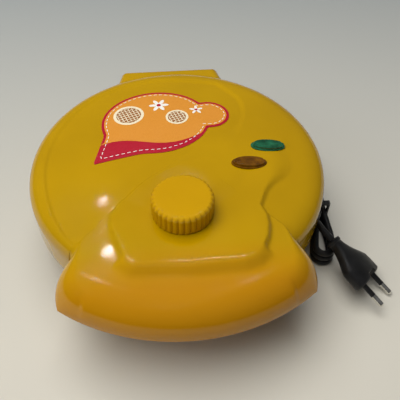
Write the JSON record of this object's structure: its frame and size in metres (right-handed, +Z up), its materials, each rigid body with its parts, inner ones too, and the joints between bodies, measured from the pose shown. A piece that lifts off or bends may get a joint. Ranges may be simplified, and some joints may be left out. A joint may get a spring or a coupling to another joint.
{
  "type": "electric krumkake iron",
  "caption": "Round electric krumkake iron with a hinged domed lid, front handle, thermostat knob, lamp lenses, engraved baking plates and a tied mains cord.",
  "frame": {"origin": "centre of the bottom of the iron's own box, on the table that it stands on, without the cord and its plug", "axes": "+Z up from the table; +Y from the front handle to the hinge; +X to the right as seen from the front"},
  "size_m": [0.2519, 0.2879, 0.086],
  "materials": {
    "yellow_housing": "glossy moulded yellow plastic",
    "yellow_knob": "glossy moulded yellow plastic",
    "rubber": "matte black rubber",
    "cast_plate": "dark non-stick coating on cast aluminium",
    "steel": "plain zinc-plated steel",
    "sheet": "bright pressed aluminium sheet",
    "ceramic": "off-white unglazed ceramic",
    "lead_sleeve": "red-brown woven glass sleeve",
    "cord_black": "satin black soft PVC",
    "pin_metal": "bright nickel plate",
    "green_lens": "clear green moulded lens",
    "amber_lens": "clear amber moulded lens",
    "neon_glass": "clear glass capsule",
    "label": "glossy printed film"
  },
  "bodies": {
    "base": {"lower_housing": "yellow_housing", "rubber_feet": "rubber", "lower_baking_plate": "cast_plate", "lower_plate_screws": "steel", "lower_element": "steel", "lower_reflector": "sheet", "terminal_block": "ceramic", "thermal_fuse": "ceramic", "lower_leads": "lead_sleeve", "hinge_pin": "steel", "pin_nuts": "steel", "cord_gland": "cord_black", "power_cord": "cord_black", "cord_hank": "cord_black", "cord_tail": "cord_black", "cord_tie": "cord_black", "plug_body": "cord_black", "plug_pins": "pin_metal"},
    "lid": {"upper_housing": "yellow_housing", "handle_cover": "yellow_housing", "handle_screws": "steel", "upper_baking_plate": "cast_plate", "upper_plate_screws": "steel", "upper_element": "steel", "upper_reflector": "sheet", "thermostat": "ceramic", "thermostat_bracket": "steel", "upper_leads": "lead_sleeve", "green_lens": "green_lens", "amber_lens": "amber_lens", "neon_lamps": "neon_glass", "lamp_holder": "ceramic", "label_plate": "label"},
    "control": {"knob": "yellow_knob", "thermostat_shaft": "steel"}
  },
  "joints": [
    {"name": "lid_hinge", "type": "hinge", "parent": "base", "child": "lid", "pos_m": [0, 0.115, 0.041], "axis": [-1, 0, 0], "range_deg": [0, 100]},
    {"name": "knob_turn", "type": "hinge", "parent": "lid", "child": "control", "pos_m": [0, -0.047, 0.0725], "axis": [0, 0, -1], "range_deg": [0, 270]}
  ]
}
